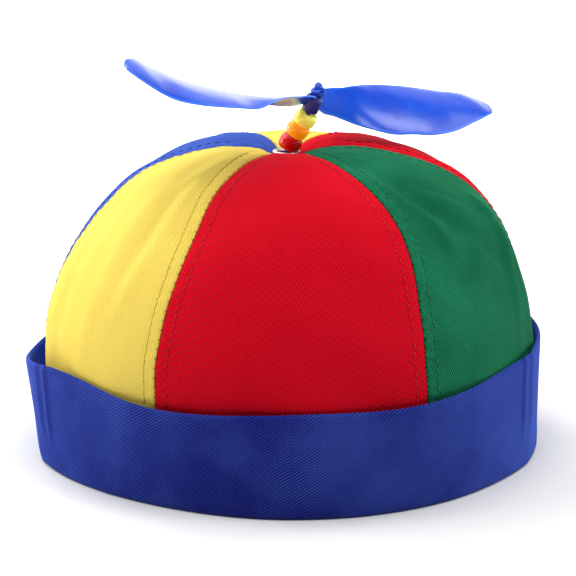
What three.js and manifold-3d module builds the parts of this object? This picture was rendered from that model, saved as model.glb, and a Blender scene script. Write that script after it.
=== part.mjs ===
// Propeller beanie: six cloth gores, a turned-up cuff, and a propeller on a beaded cord.
// Millimetres, +Z up, the front towards -Y, the cuff standing on the floor at Z = 0.
import * as THREE from 'three';
import { mergeVertices } from 'three/addons/utils/BufferGeometryUtils.js';
import Module from 'manifold-3d';

const wasm = await Module();
wasm.setup();

// Driving dimensions
const clearance = 0.3;
const crownRadius = 92.5;
const crownHeight = 114;
const crownPuff = 2;
const crownRearRise = 1.4;
const crownTaper = 0.6;
const clothWall = 1.6;
const cuffHeight = 39.5;
const cuffFlare = 3;
const cuffWall = 1.8;
const hemHeight = 12;
const hemRounding = 1.2;
const eyeletBore = 3.1;
const eyeletWall = 0.6;
const eyeletFlange = 1.7;
const eyeletPlate = 0.8;
const eyeletShift = -1;
const eyeletDimple = 1.9;
const cordRadius = 1;
const knotRadius = 2.5;
const stopKnotCatch = 1.3;
const beadRadius = 4.15;
const beadLength = 5.1;
const beadPlay = 0.9;
const hubRadius = 3.2;
const hubHeight = 7.6;
const hubPlay = 0.6;
const bladeLength = 85.2;
const bladeChord = 29.4;
const bladeRise = 7.2;
const bladeThickness = 1.2;

// Directions, in degrees: headings run from +X towards +Y, plan angles from the front towards +X.
const stemHeading = -27;
const hubHeading = -30;
const hubLean = 23;
const bladeHeading = 33;

// Facets round the turned pieces
const beadSides = 14;
const eyeletSides = 20;
const hubSides = 16;
const cordSides = 8;
const cordSteps = 22;

// Gores, from the front round by the right: the plan angles of each one's two seams, and its share
// of the puff.
const gores = table(['name', 'color', 'start', 'end', 'fullness'], [
  ['panel_front', 0xcd1020, -30.8, 32, 1],
  ['panel_front_right', 0x1e7d52, 32, 93, 0.4],
  ['panel_rear_right', 0xcd1020, 93, 148, 0.9],
  ['panel_rear', 0xf3dd5c, 148, 206, 0.3],
  ['panel_rear_left', 0x4b69d2, 206, 272, 0.9],
  ['panel_front_left', 0xf3dd5c, 272, 329.2, 1],
]);

// Places of a gore's columns across its width, close together at the stitched seams.
const columnShares = [0, 0.06, 0.17, 0.28, 0.39, 0.5, 0.61, 0.72, 0.83, 0.94, 1];

// Crown profile along a seam, from the eyelet down. Reach and lean are shares of crownRadius, height of
// crownHeight and puff of crownPuff. Broad is how much wider than deep the row is, back how much of
// crownRearRise it has, and foot how far it follows the plan of the cuff's foot.
const crownProfile = table(['reach', 'height', 'puff', 'lean', 'broad', 'back', 'foot'], [
  [0.095, 0.990, 0.3, -0.010, 0, 0.3, 0],
  [0.145, 0.997, 0.5, -0.008, 0, 0.7, 0],
  [0.220, 1.000, 0.8, -0.005, 0.02, 1, 0],
  [0.315, 0.994, 0.9, 0.000, 0.04, 1, 0],
  [0.425, 0.973, 0.9, 0.006, 0.05, 1, 0],
  [0.530, 0.943, 0.9, 0.012, 0.05, 1, 0],
  [0.630, 0.898, 0.9, 0.022, 0.047, 0.9, 0],
  [0.716, 0.843, 0.9, 0.030, 0.035, 0.8, 0],
  [0.790, 0.782, 0.8, 0.028, 0.025, 0.6, 0],
  [0.856, 0.708, 0.7, 0.020, 0.018, 0.4, 0],
  [0.910, 0.624, 0.7, 0.008, 0.013, 0.2, 0],
  [0.952, 0.538, 0.6, 0.003, 0.010, 0.1, 0],
  [0.980, 0.450, 0.5, -0.003, 0.008, 0, 0],
  [0.992, 0.360, 0.4, 0.000, 0.006, 0, 0.1],
  [0.995, 0.240, 0.2, 0.000, 0, 0, 0.5],
]);

// How soon the puff rises from a seam: the power of the half wave across a gore.
const puffPower = 0.6;

// Folds pressed into the gores, from A to B: places as shares across and down the gore, depth and
// spread as shares of crownRadius.
const folds = table(['gore', 'acrossA', 'downA', 'acrossB', 'downB', 'depth', 'spread'], [
  ['panel_front_right', 0.2, 0.33, 0.62, 0.56, 0.015, 0.065],
  ['panel_front_right', 0.72, 0.42, 0.78, 0.8, -0.013, 0.075],
  ['panel_front_left', 0.3, 0.4, 0.36, 0.8, 0.010, 0.065],
  ['panel_front_left', 0.62, 0.35, 0.6, 0.75, -0.009, 0.065],
  ['panel_rear_right', 0.3, 0.3, 0.5, 0.6, 0.011, 0.075],
]);

// Plan of the cuff every 30 degrees, from the front round by the right: foot as a share of cuffRadius,
// flare of cuffFlare, and rise of cuffHeight.
const cuffPlan = table(['foot', 'flare', 'rise'], [
  [0.993, 0.80, 0.99],
  [0.996, 0.60, 0.99],
  [0.996, 0.35, 1.09],
  [1.018, 0.10, 1.11],
  [1.008, 0.80, 1.11],
  [1.000, 0.80, 1.06],
  [0.995, 0.90, 1.00],
  [1.000, 1.10, 0.94],
  [1.004, 1.30, 0.88],
  [1.012, 1.40, 0.89],
  [1.008, 0.80, 1.05],
  [0.978, 1.30, 0.95],
]);

// Sharp upright creases in the cuff, left from lying flat: plan angle, reach as a share of cuffRadius,
// and half width in degrees. The power makes their edges sharp.
const cuffCreases = table(['angle', 'reach', 'width'], [
  [287.8, 0.026, 24],
  [69.2, 0.013, 20],
]);
const creasePower = 1.6;

// Outer leg of the cuff from its foot to its rim: height as a share of the rise, bow of the flare.
const cuffLeg = table(['height', 'bow'], [
  [0.3, 0.2],
  [0.65, 0.62],
  [0.97, 1],
]);

// Beads from the eyelet up: each leans this many degrees from upright.
const beads = table(['name', 'color', 'lean'], [
  ['bead_red', 0xc00a0a, 24],
  ['bead_orange', 0xff8c1e, 35],
  ['bead_yellow', 0xe1cd5a, 34],
]);

// Half outline of a bead from its bore: radius as a share of beadRadius, height of half its length.
// The ends dip to the dish's share of half the length at the bore.
const beadOutline = table(['radius', 'height'], [
  [0.6, 1],
  [0.8, 0.95],
  [0.95, 0.66],
  [1, 0.25],
]);
const beadDish = 0.85;

// Outline of the hub from its foot: radius as a share of hubRadius, height of hubHeight.
const hubOutline = table(['radius', 'height'], [
  [0.9, 0],
  [1, 0.08],
  [1, 0.85],
  [0.8, 1],
]);

// Rounded lip of the eyelet from its rim, dished towards the bore where the first bead sits: in as a
// share of the flange, up of the plate.
const eyeletLip = table(['in', 'up'], [
  [0, 0],
  [0.12, 0.6],
  [0.4, 1],
  [0.8, 0.7],
  [1.35, 0.1],
]);

// Blade sections from the hub out. Reach is a share of bladeLength, chord and sweep of bladeChord; pitch
// is in degrees. Right and left are the rise of each soft blade, bent unequally, as a share of bladeRise.
const bladeSections = table(['reach', 'chord', 'sweep', 'pitch', 'right', 'left'], [
  [0.004, 0.17, 0.00, 50, 0, 0],
  [0.050, 0.31, 0.01, 50, -0.10, -0.12],
  [0.110, 0.37, 0.03, 47, -0.18, -0.26],
  [0.190, 0.47, 0.04, 40, -0.29, -0.29],
  [0.290, 0.68, 0.05, 25, -0.34, -0.24],
  [0.400, 0.90, 0.08, 16, -0.40, -0.29],
  [0.510, 0.95, 0.10, 13, -0.34, -0.18],
  [0.620, 1.00, 0.10, 10, -0.25, -0.05],
  [0.730, 0.98, 0.10, 5, -0.05, 0.17],
  [0.830, 0.85, 0.09, -1, 0.27, 0.42],
  [0.910, 0.69, 0.08, -4, 0.50, 0.71],
  [0.968, 0.44, 0.07, -3, 0.48, 0.83],
  [1.000, 0.12, 0.06, -1, 0.46, 0.85],
]);

// Strips across a blade, its edge thickness as a share of bladeThickness, and the height of its root
// as a share of hubHeight
const bladeColumns = 6;
const bladeEdge = 0.35;
const bladePlace = 0.62;

// Height of the top knot as a share of its width, and place of the cuff's rounded bottom corner as a
// share of hemRounding
const knotSquash = 0.8;
const hemCorner = 0.3;

// Sizes that follow from the driving ones
const cuffRadius = crownRadius - crownTaper + clearance + cuffWall;
const cuffChannel = clothWall + 2 * clearance;
const eyeletBarrel = eyeletBore + eyeletWall;
const eyeletRim = eyeletBarrel + eyeletFlange;
const stopKnotRadius = eyeletBore + stopKnotCatch;
const beadBore = cordRadius + beadPlay;
const hubBore = cordRadius + hubPlay;
const seatHeight = crownHeight - eyeletDimple;
const eyeletTop = seatHeight + clearance + eyeletLip[eyeletLip.length - 1].up * eyeletPlate;
const beadFace = beadRadius * beadOutline[1].radius;

function table(columns, rows) {
  return rows.map((row) => Object.fromEntries(columns.map((name, index) => [name, row[index]])));
}

function radians(degrees) {
  return THREE.MathUtils.degToRad(degrees);
}

// Smooth value round the cuff's plan, through the rows of its table.
function planValue(column, angle) {
  const step = 360 / cuffPlan.length;
  const place = THREE.MathUtils.euclideanModulo(angle, 360) / step;
  const index = Math.floor(place);
  const share = place - index;
  const at = (offset) => cuffPlan[(index + offset + cuffPlan.length) % cuffPlan.length][column];
  const slopeA = (at(1) - at(-1)) / 2;
  const slopeB = (at(2) - at(0)) / 2;
  const drop = at(0) - at(1);
  const cubic = 2 * drop + slopeA + slopeB;
  const square = -3 * drop - 2 * slopeA - slopeB;
  return at(0) + share * (slopeA + share * (square + share * cubic));
}

function creaseReach(angle) {
  return cuffCreases.reduce((sum, crease) => {
    const away = Math.abs(THREE.MathUtils.euclideanModulo(angle - crease.angle + 180, 360) - 180);
    return sum + crease.reach * cuffRadius * Math.max(0, 1 - away / crease.width) ** creasePower;
  }, 0);
}

function footRadius(angle) {
  return cuffRadius * planValue('foot', angle) + creaseReach(angle);
}

function planPoint(angle, radius, height) {
  const turn = radians(angle);
  return new THREE.Vector3(radius * Math.sin(turn), -radius * Math.cos(turn), height);
}

// Closed body through sections of equal length, each a face and a back that run side by side.
function loft(sections, closed) {
  const width = sections[0].face.length;
  const ring = 2 * width;
  const rings = sections.map((section) => [...section.face, ...section.back.toReversed()]);
  const index = [];
  const quad = (a, b, c, d) => index.push(a, b, c, a, c, d);
  const last = closed ? rings.length : rings.length - 1;
  for (let row = 0; row < last; row += 1) {
    const next = (row + 1) % rings.length;
    for (let i = 0; i < ring; i += 1) {
      const j = (i + 1) % ring;
      quad(row * ring + i, row * ring + j, next * ring + j, next * ring + i);
    }
  }
  if (!closed) {
    const end = (rings.length - 1) * ring;
    for (let i = 0; i < width - 1; i += 1) {
      const back = ring - 1 - i;
      quad(i, back, back - 1, i + 1);
      quad(end + i, end + i + 1, end + back - 1, end + back);
    }
  }
  const geometry = new THREE.BufferGeometry().setFromPoints(rings.flat());
  geometry.setIndex(index);
  return facingOut(geometry);
}

function signedVolume(geometry) {
  const place = geometry.getAttribute('position');
  const corners = [new THREE.Vector3(), new THREE.Vector3(), new THREE.Vector3()];
  let volume = 0;
  for (let i = 0; i < geometry.index.count; i += 3) {
    corners.forEach((corner, k) => corner.fromBufferAttribute(place, geometry.index.getX(i + k)));
    volume += corners[0].dot(corners[1].clone().cross(corners[2])) / 6;
  }
  return volume;
}

function facingOut(geometry) {
  if (signedVolume(geometry) < 0) {
    geometry.setIndex([...geometry.index.array].reverse());
  }
  return geometry;
}

// Turned body about +Z from an outline of [radius, height] pairs that closes on itself.
function turned(outline, sides) {
  const points = [...outline, outline[0]].map(([radius, height]) => new THREE.Vector2(radius, height));
  const geometry = new THREE.LatheGeometry(points, sides).rotateX(Math.PI / 2);
  return facingOut(welded(geometry));
}

function welded(geometry) {
  geometry.deleteAttribute('normal');
  geometry.deleteAttribute('uv');
  return mergeVertices(geometry, 1e-3);
}

function toSolid(geometry) {
  const body = geometry.index ? geometry : welded(geometry);
  return new wasm.Manifold(new wasm.Mesh({
    numProp: 3,
    vertProperties: Float32Array.from(body.getAttribute('position').array),
    triVerts: Uint32Array.from(body.index.array),
  }));
}

function fromSolid(solid) {
  const mesh = solid.getMesh();
  const geometry = new THREE.BufferGeometry();
  geometry.setAttribute('position', new THREE.BufferAttribute(mesh.vertProperties, 3));
  geometry.setIndex(new THREE.BufferAttribute(mesh.triVerts, 1));
  return geometry;
}

function piece(name, geometry, color, roughness, metalness = 0) {
  const material = new THREE.MeshStandardMaterial({ color, roughness, metalness });
  const mesh = new THREE.Mesh(geometry, material);
  mesh.name = name;
  return mesh;
}

// Crown rows from the eyelet to the hem, in millimetres, with the outward normal of each.
function crownRows() {
  const tip = eyeletBarrel + clearance;
  const seat = eyeletRim + clearance;
  const rows = [tip, seat].map((radius) => (
    { radius, height: seatHeight, puff: 0, lean: eyeletShift, broad: 0, back: 0, foot: 0 }
  ));
  crownProfile.forEach((row) => rows.push({
    radius: row.reach * crownRadius,
    height: row.height * crownHeight,
    puff: row.puff * crownPuff,
    lean: row.lean * crownRadius,
    broad: row.broad,
    back: row.back * crownRearRise,
    foot: row.foot,
  }));
  [hemHeight + clothWall, cuffWall + clearance].forEach((height) => rows.push({
    radius: crownRadius,
    height,
    puff: 0,
    lean: 0,
    broad: 0,
    back: 0,
    foot: 1,
  }));
  let down = 0;
  rows.forEach((row, i) => {
    const before = rows[Math.max(i - 1, 0)];
    const after = rows[Math.min(i + 1, rows.length - 1)];
    const along = new THREE.Vector2(after.radius - before.radius, after.height - before.height);
    row.normal = i < 2 ? new THREE.Vector2(0, 1) : new THREE.Vector2(-along.y, along.x).normalize();
    if (row.foot === 1) {
      row.normal.set(1, 0);
    }
    down += Math.hypot(row.radius - before.radius, row.height - before.height);
    row.down = down;
  });
  rows.forEach((row) => {
    row.downShare = row.down / down;
  });
  return rows;
}

// How far the folds push a point of a gore inwards.
function foldDepth(gore, across, row, length) {
  const width = radians(gore.end - gore.start) * crownRadius;
  const place = new THREE.Vector3(across * width, row.down, 0);
  return folds.filter((fold) => fold.gore === gore.name).reduce((sum, fold) => {
    const line = new THREE.Line3(
      new THREE.Vector3(fold.acrossA * width, fold.downA * length, 0),
      new THREE.Vector3(fold.acrossB * width, fold.downB * length, 0),
    );
    const away = line.closestPointToPoint(place, true, new THREE.Vector3()).distanceTo(place);
    return sum + fold.depth * crownRadius * Math.exp(-((away / (fold.spread * crownRadius)) ** 2));
  }, 0);
}

function gorePiece(gore, rows) {
  const length = rows[rows.length - 1].down;
  const surface = (row, inset) => columnShares.map((across) => {
    const turn = THREE.MathUtils.lerp(gore.start, gore.end, across);
    const puff = row.puff * gore.fullness * Math.sin(Math.PI * across) ** puffPower;
    const rise = puff - inset - (row.foot < 1 ? foldDepth(gore, across, row, length) : 0);
    const free = row.radius + row.normal.x * rise;
    const held = footRadius(turn) - cuffWall - clearance - inset;
    const radius = THREE.MathUtils.lerp(free, held, row.foot);
    const side = Math.sign(0.5 - across) * (Math.abs(0.5 - across) === 0.5 ? clearance / 2 : 0);
    const angle = turn + THREE.MathUtils.radToDeg(side / radius);
    const back = row.back * (1 - Math.cos(radians(turn))) / 2;
    const point = planPoint(angle, radius, row.height + row.normal.y * rise * (1 - row.foot) + back);
    point.x = point.x * (1 + row.broad) + row.lean;
    return point;
  });
  const sections = rows.map((row) => ({ face: surface(row, 0), back: surface(row, clothWall) }));
  return piece(gore.name, loft(sections, false), gore.color, 0.9);
}

// Section of the cuff at one plan angle: up the outer leg, down into the channel, over the inner leg
// and back.
function cuffSection(angle) {
  const foot = footRadius(angle);
  const flare = cuffFlare * planValue('flare', angle);
  const rise = cuffHeight * planValue('rise', angle);
  const inner = foot - cuffWall - cuffChannel;
  const lip = cuffWall / 2;
  const corner = hemRounding * hemCorner;
  const outline = [
    [foot - hemRounding, 0],
    [foot - corner, corner],
    [foot, hemRounding],
    ...cuffLeg.map((row) => [foot + flare * row.bow, rise * row.height]),
    [foot + flare - lip, rise],
    ...cuffLeg.toReversed().map((row) => [foot + flare * row.bow - cuffWall, rise * row.height]),
    [foot - cuffWall, cuffWall],
    [inner, cuffWall],
    [inner, hemHeight - lip],
    [inner - lip, hemHeight],
    [inner - cuffWall, hemHeight - lip],
    [inner - cuffWall, hemRounding],
    [inner - cuffWall + corner, corner],
    [inner - cuffWall + hemRounding, 0],
  ];
  const half = outline.length / 2;
  const points = outline.map(([radius, height]) => planPoint(angle, radius, height));
  return { face: points.slice(0, half), back: points.slice(half).toReversed() };
}

function cuffPiece() {
  const angles = gores.flatMap((gore) => (
    columnShares.slice(0, -1).map((across) => THREE.MathUtils.lerp(gore.start, gore.end, across))
  ));
  return piece('cuff', loft(angles.map(cuffSection), true), 0x283ca0, 0.9);
}

function eyeletPiece() {
  const under = -clothWall - clearance;
  const outline = [
    [eyeletBore, under - eyeletPlate],
    [eyeletRim, under - eyeletPlate],
    [eyeletRim, under],
    [eyeletBarrel, under],
    [eyeletBarrel, clearance],
    ...eyeletLip.map((row) => [eyeletRim - row.in * eyeletFlange, clearance + row.up * eyeletPlate]),
  ];
  const eyelet = piece('eyelet', turned(outline, eyeletSides), 0xc9c2b4, 0.35, 1);
  eyelet.position.set(eyeletShift, 0, seatHeight);
  return eyelet;
}

function leaning(lean, heading) {
  const level = Math.sin(radians(lean));
  return new THREE.Vector3(
    level * Math.cos(radians(heading)),
    level * Math.sin(radians(heading)),
    Math.cos(radians(lean)),
  );
}

function upright(direction) {
  return new THREE.Quaternion().setFromUnitVectors(new THREE.Vector3(0, 0, 1), direction);
}

// Room that two leaning faces need so that their edges stay apart.
function facingRoom(directionA, directionB) {
  return clearance + beadFace * Math.tan(directionA.angleTo(directionB));
}

// Places of the beads and the hub up the stem, each seated on the one below it.
function stemPlaces() {
  const eyeletFace = new THREE.Vector3(eyeletShift, 0, eyeletTop);
  let under = { direction: new THREE.Vector3(0, 0, 1), top: eyeletFace };
  const seatOn = (direction, length) => {
    const room = facingRoom(under.direction, direction);
    const base = under.top.clone().addScaledVector(direction, room);
    const centre = base.clone().addScaledVector(direction, length / 2);
    under = { direction, top: base.clone().addScaledVector(direction, length) };
    return { direction, base, centre, top: under.top };
  };
  const strung = beads.map((bead) => (
    { ...bead, ...seatOn(leaning(bead.lean, stemHeading), beadLength) }
  ));
  return { strung, hub: seatOn(leaning(hubLean, hubHeading), hubHeight) };
}

function beadPiece(bead) {
  const half = beadLength / 2;
  const upper = beadOutline.map((row) => [row.radius * beadRadius, row.height * half]);
  const lower = upper.toReversed().map(([radius, height]) => [radius, -height]);
  const outline = [[beadBore, beadDish * half], ...upper, ...lower, [beadBore, -beadDish * half]];
  const mesh = piece(bead.name, turned(outline, beadSides), bead.color, 0.2);
  mesh.position.copy(bead.centre);
  mesh.quaternion.copy(upright(bead.direction));
  return mesh;
}

function bladeSolid(side) {
  const sections = bladeSections.map((row) => {
    const chord = new THREE.Vector3(0, Math.cos(radians(row.pitch)), Math.sin(radians(row.pitch)));
    const normal = new THREE.Vector3(0, -chord.z, chord.y);
    const height = bladePlace * hubHeight + row[side] * bladeRise;
    const middle = new THREE.Vector3(row.reach * bladeLength, 0, height);
    middle.addScaledVector(chord, row.sweep * bladeChord);
    const skin = (up) => Array.from({ length: bladeColumns + 1 }, (_, i) => {
      const across = (2 * i) / bladeColumns - 1;
      const thick = bladeThickness * THREE.MathUtils.lerp(bladeEdge, 1, Math.sqrt(1 - across * across));
      return middle.clone()
        .addScaledVector(chord, across * row.chord * bladeChord / 2)
        .addScaledVector(normal, up * thick / 2);
    });
    return { face: skin(1), back: skin(-1) };
  });
  return toSolid(loft(sections, false));
}

function propellerPiece(hub) {
  const shell = [
    [hubBore, 0],
    ...hubOutline.map((row) => [row.radius * hubRadius, row.height * hubHeight]),
    [hubBore, hubHeight],
  ];
  const boreLength = 3 * hubHeight;
  const bore = new THREE.CylinderGeometry(hubBore, hubBore, boreLength, hubSides).rotateX(Math.PI / 2);
  const solid = toSolid(turned(shell, hubSides))
    .add(bladeSolid('right'))
    .add(bladeSolid('left').rotate([0, 0, 180]))
    .subtract(toSolid(welded(bore)));
  const mesh = piece('propeller', fromSolid(solid), 0x1e46dc, 0.15);
  mesh.rotation.z = radians(bladeHeading);
  const rotor = new THREE.Group();
  rotor.position.copy(hub.base);
  rotor.quaternion.copy(upright(hub.direction));
  rotor.add(mesh);
  return rotor;
}

function stemCordPiece(stem) {
  const stopKnot = new THREE.Vector3(eyeletShift, 0, seatHeight - clothWall - eyeletPlate);
  stopKnot.z -= 2 * clearance + stopKnotRadius;
  const knotRise = clearance + knotRadius * knotSquash;
  const topKnot = stem.hub.top.clone().addScaledVector(stem.hub.direction, knotRise);
  const route = new THREE.CatmullRomCurve3([
    stopKnot,
    new THREE.Vector3(eyeletShift, 0, seatHeight),
    ...stem.strung.map((bead) => bead.centre),
    stem.hub.base,
    stem.hub.centre,
    stem.hub.top,
    topKnot,
  ]);
  const section = new THREE.Shape().absarc(0, 0, cordRadius, 0, 2 * Math.PI);
  const cord = new THREE.ExtrudeGeometry(section, {
    steps: cordSteps,
    curveSegments: cordSides,
    extrudePath: route,
  });
  const knot = (radius, centre, squash, direction) => {
    const ball = new THREE.IcosahedronGeometry(radius, 1).scale(1, 1, squash);
    ball.applyQuaternion(upright(direction));
    return toSolid(welded(ball.translate(centre.x, centre.y, centre.z)));
  };
  const solid = toSolid(facingOut(welded(cord)))
    .add(knot(knotRadius, topKnot, knotSquash, stem.hub.direction))
    .add(knot(stopKnotRadius, stopKnot, 1, new THREE.Vector3(0, 0, 1)));
  return piece('stem_cord', fromSolid(solid), 0x285ae6, 0.6);
}

const hat = new THREE.Group();
const rows = crownRows();
gores.forEach((gore) => hat.add(gorePiece(gore, rows)));
hat.add(cuffPiece());
hat.add(eyeletPiece());
const stem = stemPlaces();
stem.strung.forEach((bead) => hat.add(beadPiece(bead)));
hat.add(stemCordPiece(stem));
hat.add(propellerPiece(stem.hub));

// The origin lies on the floor, below the middle of the hat's box.
const box = new THREE.Box3().setFromObject(hat, true);
const middle = box.getCenter(new THREE.Vector3());
hat.position.set(-middle.x, -middle.y, -box.min.z);

export default hat;
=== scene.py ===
"""Looks of the propeller beanie: twill gores and cuff with stitching, beads, knotted cord and propeller."""

import math

import bpy
import numpy as np
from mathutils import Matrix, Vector


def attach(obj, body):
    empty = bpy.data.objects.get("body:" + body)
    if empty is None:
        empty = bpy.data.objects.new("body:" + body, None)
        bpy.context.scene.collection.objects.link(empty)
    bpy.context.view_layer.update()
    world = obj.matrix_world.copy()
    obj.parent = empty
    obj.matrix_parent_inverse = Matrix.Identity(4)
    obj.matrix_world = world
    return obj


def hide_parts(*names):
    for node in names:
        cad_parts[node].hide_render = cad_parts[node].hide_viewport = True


MM = 0.001

# Named sizes in millimetres, as in part.mjs
CLEARANCE = 0.3
CROWN_RADIUS = 92.5
CROWN_HEIGHT = 114
CROWN_PUFF = 2
CROWN_REAR_RISE = 1.4
CROWN_TAPER = 0.6
CLOTH_WALL = 1.6
CUFF_HEIGHT = 39.5
CUFF_FLARE = 3
CUFF_WALL = 1.8
HEM_HEIGHT = 12
EYELET_BORE = 3.1
EYELET_WALL = 0.6
EYELET_FLANGE = 1.7
EYELET_PLATE = 0.8
EYELET_SHIFT = -1
EYELET_DIMPLE = 1.9
CORD_RADIUS = 1
STOP_KNOT_CATCH = 1.3
BEAD_RADIUS = 4.15
BEAD_LENGTH = 5.1
BEAD_PLAY = 0.9
HUB_RADIUS = 3.2
HUB_HEIGHT = 7.6
HUB_PLAY = 0.6
BLADE_LENGTH = 85.2
BLADE_CHORD = 29.4
BLADE_RISE = 7.2
BLADE_THICKNESS = 1.2
BLADE_PLACE = 0.62
BLADE_EDGE = 0.35
BLADE_CAMBER = 1.2
PUFF_POWER = 0.6
SEAM_EASE = 0.004

# Directions in degrees, as in part.mjs
STEM_HEADING = -27
HUB_HEADING = -30
HUB_LEAN = 23
BLADE_HEADING = 33

# Sizes that follow from the named ones
CUFF_RADIUS = CROWN_RADIUS - CROWN_TAPER + CLEARANCE + CUFF_WALL
CUFF_CHANNEL = CLOTH_WALL + 2 * CLEARANCE
EYELET_BARREL = EYELET_BORE + EYELET_WALL
EYELET_RIM = EYELET_BARREL + EYELET_FLANGE
SEAT_HEIGHT = CROWN_HEIGHT - EYELET_DIMPLE
EYELET_TOP = SEAT_HEIGHT + CLEARANCE + 0.1 * EYELET_PLATE

# The crown's axis in the row frame, whose origin is below the middle of the hat's box
AXIS_AT = np.array([1.8306, -0.198, 0.0])

# Gores: node, material, plan angles of the two seams and share of the puff
GORES = (
    ("panel_front", "red", -30.8, 32, 1),
    ("panel_front_right", "green", 32, 93, 0.4),
    ("panel_rear_right", "red", 93, 148, 0.9),
    ("panel_rear", "yellow", 148, 206, 0.3),
    ("panel_rear_left", "blue", 206, 272, 0.9),
    ("panel_front_left", "yellow", 272, 329.2, 1),
)

# Crown profile: reach, height, puff, lean, broad, back and foot, as in part.mjs
CROWN_PROFILE = np.array([
    (0.095, 0.990, 0.3, -0.010, 0, 0.3, 0),
    (0.145, 0.997, 0.5, -0.008, 0, 0.7, 0),
    (0.220, 1.000, 0.8, -0.005, 0.02, 1, 0),
    (0.315, 0.994, 0.9, 0.000, 0.04, 1, 0),
    (0.425, 0.973, 0.9, 0.006, 0.05, 1, 0),
    (0.530, 0.943, 0.9, 0.012, 0.05, 1, 0),
    (0.630, 0.898, 0.9, 0.022, 0.047, 0.9, 0),
    (0.716, 0.843, 0.9, 0.030, 0.035, 0.8, 0),
    (0.790, 0.782, 0.8, 0.028, 0.025, 0.6, 0),
    (0.856, 0.708, 0.7, 0.020, 0.018, 0.4, 0),
    (0.910, 0.624, 0.7, 0.008, 0.013, 0.2, 0),
    (0.952, 0.538, 0.6, 0.003, 0.010, 0.1, 0),
    (0.980, 0.450, 0.5, -0.003, 0.008, 0, 0),
    (0.992, 0.360, 0.4, 0.000, 0.006, 0, 0.1),
    (0.995, 0.240, 0.2, 0.000, 0, 0, 0.5),
])

# Folds in the gores: across and down at both ends, depth and spread as shares of the crown's radius
FOLDS = {
    "panel_front": (
        (0.12, 0.30, 0.30, 0.42, 0.004, 0.045),
        (0.86, 0.62, 0.80, 0.90, 0.004, 0.05),
    ),
    "panel_front_right": (
        (0.2, 0.33, 0.62, 0.56, 0.015, 0.065),
        (0.72, 0.42, 0.78, 0.8, -0.013, 0.075),
        (0.38, 0.30, 0.80, 0.50, 0.006, 0.03),
    ),
    "panel_front_left": (
        (0.3, 0.4, 0.36, 0.8, 0.010, 0.065),
        (0.62, 0.35, 0.6, 0.75, -0.009, 0.065),
        (0.78, 0.28, 0.72, 0.60, 0.006, 0.035),
    ),
    "panel_rear_right": ((0.3, 0.3, 0.5, 0.6, 0.011, 0.075),),
    "panel_rear": ((0.55, 0.35, 0.42, 0.7, 0.008, 0.07),),
    "panel_rear_left": (
        (0.4, 0.3, 0.6, 0.62, 0.009, 0.07),
        (0.1, 0.28, 0.8, 0.32, 0.02, 0.13),
    ),
}

# Creases in the gores: across and down at both ends, height and spread in millimetres
CREASES = {
    "panel_front": (),
    "panel_front_right": (
        (0.10, 0.22, 0.26, 0.50, 1.5, 3.0),
        (0.20, 0.19, 0.34, 0.43, -2.4, 5.2),
        (0.52, 0.28, 0.27, 0.68, 1.1, 7.0),
        (0.71, 0.38, 0.60, 0.74, 1.5, 2.6),
    ),
    "panel_rear_right": ((0.75, 0.12, 0.70, 0.30, 0.6, 2.5),),
    "panel_rear": (),
    "panel_rear_left": ((0.30, 0.14, 0.20, 0.30, 0.6, 2.5),),
    "panel_front_left": (
        (0.74, 0.16, 0.83, 0.40, 0.6, 3.6),
        (0.83, 0.40, 0.70, 0.68, 0.6, 4.4),
        (0.62, 0.14, 0.66, 0.26, -0.6, 4.0),
    ),
}

# Plan of the cuff every 30 degrees: foot, flare and rise, as in part.mjs
CUFF_PLAN = np.array([
    (0.993, 0.80, 0.99),
    (0.996, 0.60, 0.99),
    (0.996, 0.35, 1.09),
    (1.018, 0.10, 1.11),
    (1.008, 0.80, 1.11),
    (1.000, 0.80, 1.06),
    (0.995, 0.90, 1.00),
    (1.000, 1.10, 0.94),
    (1.004, 1.30, 0.88),
    (1.012, 1.40, 0.89),
    (1.008, 0.80, 1.05),
    (0.978, 1.30, 0.95),
])
PLAN_STEP = 360 / len(CUFF_PLAN)

# Side creases of the cuff: plan angle, depth as a share of the radius and width in degrees, as in part.mjs
CUFF_CREASES = ((287.8, 0.026, 24), (69.2, 0.013, 20))
CREASE_POWER = 1.6

# Bow of the cuff's wall: share of the height, and share of the flare there
CUFF_BOW = np.array([(0, 0), (0.3, 0.2), (0.65, 0.62), (0.97, 1), (1.06, 1.06)])

# Upright creases of the cuff's cloth: plan angle, height and spread in millimetres
CUFF_LINES = ((294.5, 0.7, 1.5), (290.5, 0.5, 2.0), (65.8, 0.7, 1.4), (70.5, 0.5, 2.0))

# Beads from the eyelet up: name and lean in degrees
BEADS = (
    ("bead_red", 24),
    ("bead_orange", 35),
    ("bead_yellow", 34),
)

# Blade sections: reach, chord, sweep, pitch, and rise of the right and the left blade, as in part.mjs
BLADE_SECTIONS = np.array([
    (0.004, 0.17, 0.00, 50, 0, 0),
    (0.050, 0.31, 0.01, 50, -0.10, -0.12),
    (0.110, 0.37, 0.03, 47, -0.18, -0.26),
    (0.190, 0.47, 0.04, 40, -0.29, -0.29),
    (0.290, 0.68, 0.05, 25, -0.34, -0.24),
    (0.400, 0.90, 0.08, 16, -0.40, -0.29),
    (0.510, 0.95, 0.10, 13, -0.34, -0.18),
    (0.620, 1.00, 0.10, 10, -0.25, -0.05),
    (0.730, 0.98, 0.10, 5, -0.05, 0.17),
    (0.830, 0.85, 0.09, -1, 0.27, 0.42),
    (0.910, 0.69, 0.08, -4, 0.50, 0.71),
    (0.968, 0.44, 0.07, -3, 0.48, 0.83),
    (1.000, 0.12, 0.06, -1, 0.46, 0.85),
])

# Round tip of a blade, as shares of its length and chord
TIP_START = 0.83
TIP_LENGTH = 0.248
TIP_CHORD = 0.895

# Ends of the gores' creases, as a share of their length, and the power of their fading
CREASE_END = 0.12
CREASE_FADE = 0.8

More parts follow.
